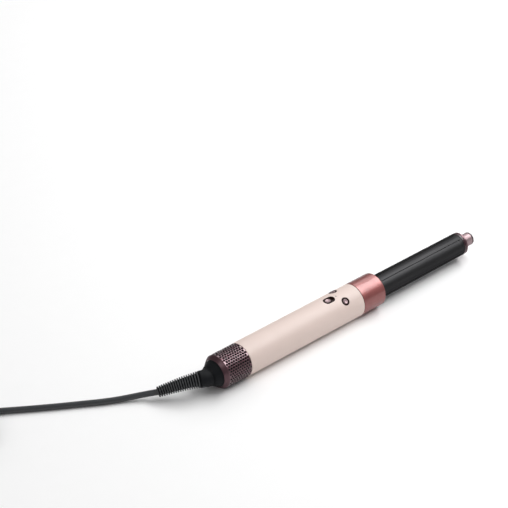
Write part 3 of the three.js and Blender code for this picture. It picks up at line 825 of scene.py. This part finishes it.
FOOT = 17.7 * MM  # height of the surrounds' feet above the axis
STEM_FOOT = 16.6 * MM  # height of the feet of the parts that move inside the surrounds


def hole(x, half_long, half_wide, angle):
    """A straight-sided cutter through the shell."""
    levels = [(0, RADIUS - 2 * WALL), (0, RADIUS + 1.5 * WALL)]
    return stacked_pills(x, half_long, half_wide, levels, False, angle)


def add_handle_skin():
    x0, x1, outer = span("handle_shell")
    profile = rounded([
        (x0, outer - WALL, 0.3 * MM),
        (x0, outer, 0.5 * MM),
        (x1, outer, 0.6 * MM),
        (x1, outer - WALL, 0.3 * MM),
    ])
    catch_reach = CATCH_HALF_LENGTH + GAP + CATCH_TRAVEL / 2
    cutters = [
        hole(SLIDER_STATION, SLOT_HALF_LENGTH + PLAY, SLOT_HALF_WIDTH + PLAY, CONTROL_ANGLE),
        hole(LIGHT_STATION, LIGHT_RADIUS + PLAY, LIGHT_RADIUS + PLAY, CONTROL_ANGLE),
        hole(CATCH_STATION - CATCH_TRAVEL / 2, catch_reach, CATCH_HALF_WIDTH + GAP, CATCH_ANGLE),
    ]
    for angle in BUTTON_ANGLES.values():
        cutters.append(hole(BUTTON_STATION, BUTTON_RING + PLAY, BUTTON_RING + PLAY, angle))
    mesh = carved("handle_skin", revolve(profile), cutters)
    add_piece("handle_skin", mesh, BLUSH, "handle", ["handle_shell"])


def bezel_levels(width):
    """The section of a bezel of that width: a rounded rim that stands a little out of the handle."""
    top = RADIUS + 0.35 * MM
    return [
        (0, FOOT),
        (0, top - 0.45 * MM),
        (0.08 * MM, top - 0.2 * MM),
        (0.25 * MM, top - 0.05 * MM),
        (0.5 * MM, top),
        (width - 0.4 * MM, top - 0.05 * MM),
        (width - 0.15 * MM, top - 0.25 * MM),
        (width, top - 0.6 * MM),
        (width, FOOT),
    ]


def add_slider():
    """The slider's rim, the floor that it slides over, and its knob at the rear end of the opening."""
    levels = bezel_levels(SLOT_HALF_WIDTH - OPENING_HALF_WIDTH)
    rim = stacked_pills(SLIDER_STATION, SLOT_HALF_LENGTH, SLOT_HALF_WIDTH, levels, True, CONTROL_ANGLE)
    add_piece("slider_surround", rim, DARK_GLOSS, "handle", ["slider_bezel"])
    track_top = RADIUS - 1.6 * MM
    track_foot = RADIUS - 2.2 * MM
    edge = 2.0 * MM  # between the opening's side and the slot that the knob's stem runs in
    clear = 0.02 * MM
    track = stacked_pills(
        SLIDER_STATION,
        OPENING_HALF_LENGTH - clear,
        OPENING_HALF_WIDTH - clear,
        [(0, track_foot), (0, track_top), (edge, track_top), (edge, track_foot)],
        True,
        CONTROL_ANGLE,
    )
    add_piece("slider_track", track, DARK_GLOSS, "handle")
    knob_length = 3.9 * MM
    knob_width = OPENING_HALF_WIDTH - GAP
    x = SLIDER_STATION - OPENING_HALF_LENGTH + GAP + knob_length
    top = RADIUS + 0.1 * MM
    levels = [
        (edge, STEM_FOOT),
        (edge, top - 1.5 * MM),
        (0, top - 1.5 * MM),
        (0, top - 0.5 * MM),
        (0.15 * MM, top - 0.2 * MM),
        (0.45 * MM, top),
        (1.2 * MM, top - 0.15 * MM),
        (2.2 * MM, top - 0.35 * MM),
        (2.6 * MM, top - 0.4 * MM),
    ]
    knob = stacked_pills(x, knob_length, knob_width, levels, False, CONTROL_ANGLE)
    add_piece("slider_knob", knob, KNOB_GREY, "slider", ["power_slider"])


def add_button(name, angle):
    """A round button with a dished face, in its rim."""
    width = BUTTON_RING - BUTTON_CAP - GAP
    rim = stacked_pills(BUTTON_STATION, BUTTON_RING, BUTTON_RING, bezel_levels(width), True, angle)
    add_piece(f"{name}_rim", rim, DARK_GLOSS, "handle", [f"{name}_bezel"])
    top = RADIUS + 0.2 * MM
    levels = [
        (0, STEM_FOOT),
        (0, top - 0.5 * MM),
        (0.12 * MM, top - 0.2 * MM),
        (0.4 * MM, top),
        (1.0 * MM, top - 0.12 * MM),
        (1.8 * MM, top - 0.4 * MM),
        (2.4 * MM, top - 0.55 * MM),
        (2.9 * MM, top - 0.6 * MM),
    ]
    cap = stacked_pills(BUTTON_STATION, BUTTON_CAP, BUTTON_CAP, levels, False, angle)
    add_piece(f"{name}_cap", cap, KNOB_GREY, name, [f"{name}_button"])


def add_indicator():
    top = RADIUS
    levels = [
        (0, 17 * MM),
        (0, top - 0.25 * MM),
        (0.15 * MM, top - 0.08 * MM),
        (0.5 * MM, top),
        (0.9 * MM, top + 0.02 * MM),
    ]
    light = stacked_pills(LIGHT_STATION, LIGHT_RADIUS, LIGHT_RADIUS, levels, False, CONTROL_ANGLE)
    add_piece("indicator_lens", light, CLEAR, "handle", ["indicator_light"])


def add_catch():
    """The release catch's tab, a little below the shell's surface, with a thumb hollow."""
    top = RADIUS - 0.35 * MM
    levels = [
        (0, 17.4 * MM),
        (0, top - 0.6 * MM),
        (0.2 * MM, top - 0.2 * MM),
        (0.7 * MM, top),
        (1.6 * MM, top - 0.25 * MM),
        (2.4 * MM, top - 0.45 * MM),
    ]
    tab = stacked_pills(CATCH_STATION, CATCH_HALF_LENGTH, CATCH_HALF_WIDTH, levels, False, CATCH_ANGLE)
    add_piece("catch_tab", tab, BLUSH, "catch", ["release_catch"])


add_handle_skin()
add_slider()
for button_name, button_angle in BUTTON_ANGLES.items():
    add_button(button_name, button_angle)
add_indicator()
add_catch()

# ---------------------------------------------------------------- rear: perforated cage and cone
CAGE_COLUMNS = 42
CAGE_ROWS = 9
CELL_STEPS = 4  # lattice steps along each side of a hole's cell
HOLE_PITCH = 3.48 * MM
HOLE_RADIUS = 1.28 * MM
HOLE_CHAMFER = 0.12 * MM
HOLES_START = -33.5 * MM  # station of the rear border of the holes, where the bevel begins
CAGE_SKIN = 1.0 * MM
BEVEL_FINISH, HOLE_SHADE_FINISH = 1, 2  # places in the cage's list of finishes; the holes' walls take the painted shade
WAIST_STATION = -46.5 * MM  # where the cone meets the sleeve's neck
WAIST_RADIUS = 11.8 * MM
NECK_END = -48.5 * MM
NECK_SPIGOT = 5.5 * MM
DOT_STATION = -1.9 * MM
DOT_RADIUS = 0.75 * MM


def cage_shape():
    """The cage: a lattice of cells with a round hole in each, every second column half a hole further on.

    Two skins, outer and inner, are joined by the holes' walls, the front edge and the bevel.
    """
    x0, x1, outer = span("filter_cage")
    around = CAGE_COLUMNS * CELL_STEPS
    along = CAGE_ROWS * CELL_STEPS + CELL_STEPS // 2
    step = HOLE_PITCH / CELL_STEPS
    start = REAR + HOLES_START
    bm = bmesh.new()

    def angle_at(column):
        return CONTROL_ANGLE + TURN * (column - CELL_STEPS / 2) / around

    def paint(first, number):
        """Gives the faces made since the first one another of the cage's finishes."""
        bm.faces.ensure_lookup_table()
        for face in bm.faces[first:]:
            face.material_index = number

    def make_ring(x, radius):
        return [bm.verts.new(round_point(x, radius, angle_at(i))) for i in range(around)]

    def skin(radius):
        return [make_ring(start + k * step, radius) for k in range(along + 1)]

    def cell(lattice, rings, column, row):
        """One cell of a skin: faces between its square border and the hole's outermost ring."""
        u0 = column * CELL_STEPS
        v0 = row * CELL_STEPS + (CELL_STEPS // 2 if column % 2 else 0)
        n = CELL_STEPS
        border = [(u0 + i, v0) for i in range(n)]
        border += [(u0 + n, v0 + i) for i in range(n)]
        border += [(u0 + n - i, v0 + n) for i in range(n)]
        border += [(u0, v0 + n - i) for i in range(n)]
        corners = [lattice[v][u % around] for u, v in border]
        x = start + (v0 + n / 2) * step
        middle = angle_at(u0 + n / 2)
        made = []
        for hole_radius, radius in rings:
            ring = []
            for u, v in border:
                turn = math.atan2((v - v0 - n / 2) * step, (u - u0 - n / 2) * TURN / around * outer)
                spread_angle = hole_radius * math.cos(turn) / radius
                spot = round_point(x + hole_radius * math.sin(turn), radius, middle + spread_angle)
                ring.append(bm.verts.new(spot))
            made.append(ring)
        join_rings(bm, [corners, *made], closed=False)
        return made[-1]

    outside = skin(outer)
    inside = skin(outer - CAGE_SKIN)
    for column in range(CAGE_COLUMNS):
        for row in range(CAGE_ROWS):
            chamfered = [(HOLE_RADIUS + HOLE_CHAMFER, outer), (HOLE_RADIUS, outer - HOLE_CHAMFER)]
            top = cell(outside, chamfered, column, row)
            foot = cell(inside, [(HOLE_RADIUS, outer - CAGE_SKIN)], column, row)
            # the holes' walls, in the painted shade finish
            before = len(bm.faces)
            join_rings(bm, [top, foot], closed=False)
            paint(before, HOLE_SHADE_FINISH)
        # the half cell that the holes' offset leaves at one end of the column
        first = along - CELL_STEPS // 2 if column % 2 == 0 else 0
        for v in range(first, first + CELL_STEPS // 2):
            for u in range(column * CELL_STEPS, (column + 1) * CELL_STEPS):
                w = (u + 1) % around
                for lattice in (outside, inside):
                    bm.faces.new([lattice[v][u], lattice[v][w], lattice[v + 1][w], lattice[v + 1][u]])

    front = [
        make_ring(x1 - 0.12 * MM, outer),
        make_ring(x1 - 0.03 * MM, outer - 0.05 * MM),
        make_ring(x1, outer - 0.15 * MM),
        make_ring(x1, outer - CAGE_SKIN),
    ]
    join_rings(bm, [outside[-1], *front, inside[-1]], closed=False)
    mouth = outer - 3.4 * MM
    bevel = [(start - 0.3 * MM, outer - 0.04 * MM), (start - 0.7 * MM, outer - 0.22 * MM)]
    bevel += [(start - 1.1 * MM, outer - 0.5 * MM)]
    slope_x, slope_r = bevel[-1]
    for groove in (0.3, 0.52, 0.74):
        gx = slope_x + (x0 - slope_x) * groove
        gr = slope_r + (mouth - slope_r) * groove
        bevel += [(gx + 0.12 * MM, gr + 0.08 * MM), (gx + 0.04 * MM, gr - 0.08 * MM)]
        bevel += [(gx - 0.06 * MM, gr - 0.13 * MM), (gx - 0.12 * MM, gr - 0.04 * MM)]
    bevel += [(x0 + 0.12 * MM, mouth + 0.08 * MM), (x0, mouth - 0.05 * MM), (x0, mouth - 0.5 * MM)]
    bevel += [(start - 0.8 * MM, outer - CAGE_SKIN - 0.3 * MM)]
    rings = [make_ring(x, radius) for x, radius in bevel]
    before = len(bm.faces)
    join_rings(bm, [*rings, inside[0]], closed=False)
    paint(before, BEVEL_FINISH)
    join_rings(bm, [outside[0], rings[0]], closed=False)
    return bm


def add_cage():
    sharp = 50 * DEGREE
    cage = add_piece("cage_skin", cage_shape(), PLUM, "cage", ["filter_cage"], sharp)
    cage.data.materials.append(PLUM_DARK)
    cage.data.materials.append(HOLE_PAINTED_SHADE)
    top = RADIUS
    levels = [(0, top - 1.2 * MM), (0, top - 0.1 * MM), (0.12 * MM, top), (0.5 * MM, top + 0.05 * MM)]
    dot = stacked_pills(DOT_STATION, DOT_RADIUS, DOT_RADIUS, levels, False, CONTROL_ANGLE)
    add_piece("cage_dot", dot, DOT_ENAMEL, "cage", ["alignment_dot"])


def add_cone():
    """The rubber cone inside the cage's mouth, its neck with fine ridges, and its hidden spigot."""
    x0, x1, mouth = span("end_cone")
    bore = CORD_RADIUS + GAP
    cage_end = span("filter_cage")[0]
    neck = REAR + NECK_END
    waist = REAR + WAIST_STATION
    profile = [(x1, bore), (x1, mouth)]
    profile += [(cage_end - GAP, mouth), (cage_end - GAP - 0.2 * MM, mouth - 0.12 * MM)]
    for share in (0.25, 0.5, 0.75, 1.0):
        profile.append((cage_end + (waist - cage_end) * share, mouth + (WAIST_RADIUS - mouth) * share))
    for share in (0.2, 0.5, 0.8):
        x = waist + (neck - waist) * share
        radius = WAIST_RADIUS + (NECK_RADIUS - WAIST_RADIUS) * share
        profile += [(x + 0.16 * MM, radius - 0.18 * MM), (x + 0.08 * MM, radius + 0.06 * MM)]
        profile += [(x - 0.08 * MM, radius + 0.06 * MM), (x - 0.16 * MM, radius - 0.18 * MM)]
    profile += [(neck + 0.1 * MM, NECK_RADIUS), (neck, NECK_RADIUS - 0.12 * MM), (neck, NECK_SPIGOT)]
    profile += [(x0, NECK_SPIGOT), (x0, bore)]
    add_piece("rear_cone", revolve(profile), RUBBER, "handle", ["end_cone"])


add_cage()
add_cone()

# ---------------------------------------------------------------- front: collar, barrel and tip
COLLAR_BORE = 18.8 * MM
COLLAR_LIP = 17.0 * MM
LIP_DEPTH = 2.6 * MM
BARREL_ROOT = 14.7 * MM
BARREL_BORE = 13.3 * MM
TIP_BORE = 12.3 * MM
KNOB_BORE = 2.8 * MM
VANES = 6
FIRST_VANE = 30 * DEGREE
VANE_STEP = 0.95 * MM  # how far one vane's edge stands over the next
VANE_POINTS = 24  # across a vane
SLOT_DEPTH = 0.3 * MM
SLOT_WIDTH = 0.42 * MM
SLOTS_START = 214 * MM
SLOTS_END = 352 * MM
SLOT_FADE = 5 * MM  # length in which the slots sink in at each end


def add_collar():
    x0, x1, outer = span("collar")
    profile = rounded([
        (x0, COLLAR_BORE, 0.2 * MM),
        (x0, outer, 0.35 * MM),
        (x1, outer, 0.9 * MM),
        (x1, COLLAR_LIP, 0.4 * MM),
        (x1 - LIP_DEPTH, COLLAR_LIP, 0.3 * MM),
        (x1 - LIP_DEPTH, COLLAR_BORE),
    ], steps=10)
    add_piece("collar_skin", revolve(profile), ROSE, "barrel", ["collar"])


def barrel_section(weight):
    """(angle, drop below the full radius) round the barrel: each vane stands over a narrow slot."""
    width = TURN / VANES
    slot = SLOT_WIDTH / BARREL_ROOT
    bottom = SLOT_DEPTH + VANE_STEP
    points = []
    for vane in range(VANES):
        start = FIRST_VANE + width * vane
        points += [(start, bottom), (start + slot, bottom)]
        for k in range(VANE_POINTS):
            t = k / (VANE_POINTS - 1)
            points.append((start + slot * 1.15 + (width - slot * 1.3) * t, VANE_STEP * (1 - t) ** 2))
    return [(angle, drop * weight) for angle, drop in points]


def add_barrel():
    x0, x1, _ = span("barrel_shell")
    tip = span("barrel_end_cap")[2]
    first, last = REAR + SLOTS_START, REAR + SLOTS_END
    stations = [x0, x0 + 0.3 * MM]
    stations += [first - SLOT_FADE + SLOT_FADE * k / 8 for k in range(9)]
    stations += [first + (last - first) * k / 24 for k in range(1, 24)]
    stations += [last + SLOT_FADE * k / 8 for k in range(9)]
    stations += [x1 - 0.25 * MM, x1]
    bm = bmesh.new()
    rings = []
    for x in stations:
        inside = min(1.0, max(0.0, min(x - first + SLOT_FADE, last + SLOT_FADE - x) / SLOT_FADE))
        weight = inside * inside * (3 - 2 * inside)
        radius = BARREL_ROOT + (tip - BARREL_ROOT) * (x - x0) / (x1 - x0)
        if x in (x0, x1):
            radius -= 0.2 * MM
        section = barrel_section(weight)
        rings.append([bm.verts.new(round_point(x, radius - drop, angle)) for angle, drop in section])
    for x, bore in ((x1, TIP_BORE), (x0, BARREL_BORE)):
        rings.append([bm.verts.new(round_point(x, bore, angle)) for angle, _ in barrel_section(0)])
    join_rings(bm, rings, closed=True)
    add_piece("barrel_skin", bm, GRAPHITE, "barrel", ["barrel_shell"], sharp=30 * DEGREE)


def add_tip():
    """The dark cap that plugs the barrel's end, and the pale flange in front of it."""
    x0, x1, outer = span("barrel_end_cap")
    plug = 13.0 * MM
    lip = x0 + 6.6 * MM
    profile = rounded([
        (x0, KNOB_BORE),
        (x0, plug),
        (lip, plug),
        (lip, outer, 0.25 * MM),
        (x1, outer, 0.3 * MM),
        (x1, KNOB_BORE),
    ])
    add_piece("tip_band", revolve(profile), BURGUNDY, "barrel", ["barrel_end_cap"])
    x0, x1, outer = span("tip_flange")
    profile = rounded([
        (x0, KNOB_BORE),
        (x0, outer, 0.3 * MM),
        (x1 - 1.6 * MM, outer, 0.9 * MM),
        (x1, outer - 1.9 * MM, 0.5 * MM),
        (x1, KNOB_BORE),
    ])
    add_piece("tip_ring", revolve(profile), PALE_PINK, "barrel", ["tip_flange"])


def add_knob():
    """The knob at the tip: a pale body and a dark crown with a shallow hollow."""
    x0, x1, outer = span("direction_knob")
    rim = x1 - 2.7 * MM
    face = x1 - 0.15 * MM
    hollow = x1 - 0.7 * MM
    sides = SIDES // 2
    profile = rounded([
        (x0, KNOB_BORE),
        (x0, outer - 0.1 * MM, 0.4 * MM),
        (rim - 0.6 * MM, outer, 0.2 * MM),
        (rim - 0.4 * MM, outer - 0.35 * MM),
        (rim, outer - 0.35 * MM),
        (rim, KNOB_BORE),
    ])
    add_piece("knob_body", revolve(profile, sides), KNOB_GREY, "knob", ["direction_knob"])
    crown = rounded([
        (rim, 0.0),
        (rim, outer - 0.05 * MM, 0.3 * MM),
        (face, outer - 0.05 * MM, 1.5 * MM),
        (face, outer - 3.2 * MM),
        (hollow, outer - 4.2 * MM, 0.4 * MM),
        (hollow, 0.0),
    ])
    add_piece("knob_crown", revolve(crown, sides), BURGUNDY, "knob")


add_collar()
add_barrel()
add_tip()
add_knob()

# ---------------------------------------------------------------- floor and light
FLOOR_HALF = 5.0
FLOOR_HEIGHT = -0.1 * MM
WORLD_STRENGTH = 0.25
ORIGIN = (0.0, 0.0, 0.0)
# name, place, what it points at, width, height and power in watts
SOFTBOXES = [
    ("key_softbox", (1.40, -0.40, 1.94), ORIGIN, 2.3, 0.85, 59.0),
    ("rear_softbox", (1.6, 1.5, 1.9), ORIGIN, 1.6, 1.2, 16.0),
    ("left_softbox", (-1.9, -0.3, 1.6), (-0.7, -0.2, 0.0), 1.2, 1.0, 9.0),
]


def add_floor():
    bm = bmesh.new()
    corners = [(-1, -1), (1, -1), (1, 1), (-1, 1)]
    bm.faces.new([bm.verts.new((x * FLOOR_HALF, y * FLOOR_HALF, FLOOR_HEIGHT)) for x, y in corners])
    floor = bpy.data.objects.new("studio_floor", to_mesh("studio_floor", bm))
    paper = finish_material("white_paper", linear(249, 249, 249), 0.8, mottle=0.004, specular=0.1)
    floor.data.materials.append(paper)
    SCENE.collection.objects.link(floor)


def add_softbox(name, place, target, width, height, power):
    data = bpy.data.lights.new(name, "AREA")
    data.shape = "RECTANGLE"
    data.size = width
    data.size_y = height
    data.energy = power
    light = bpy.data.objects.new(name, data)
    SCENE.collection.objects.link(light)
    light.location = place
    light.rotation_mode = "QUATERNION"
    light.rotation_quaternion = (Vector(target) - Vector(place)).to_track_quat("-Z", "Y")


def add_world():
    world = bpy.data.worlds.new("studio_world")
    world.use_nodes = True
    background = world.node_tree.nodes["Background"]
    background.inputs["Color"].default_value = (1.0, 1.0, 1.0, 1.0)
    background.inputs["Strength"].default_value = WORLD_STRENGTH
    SCENE.world = world
    SCENE.view_settings.view_transform = "Standard"


add_floor()
add_world()
for softbox in SOFTBOXES:
    add_softbox(*softbox)
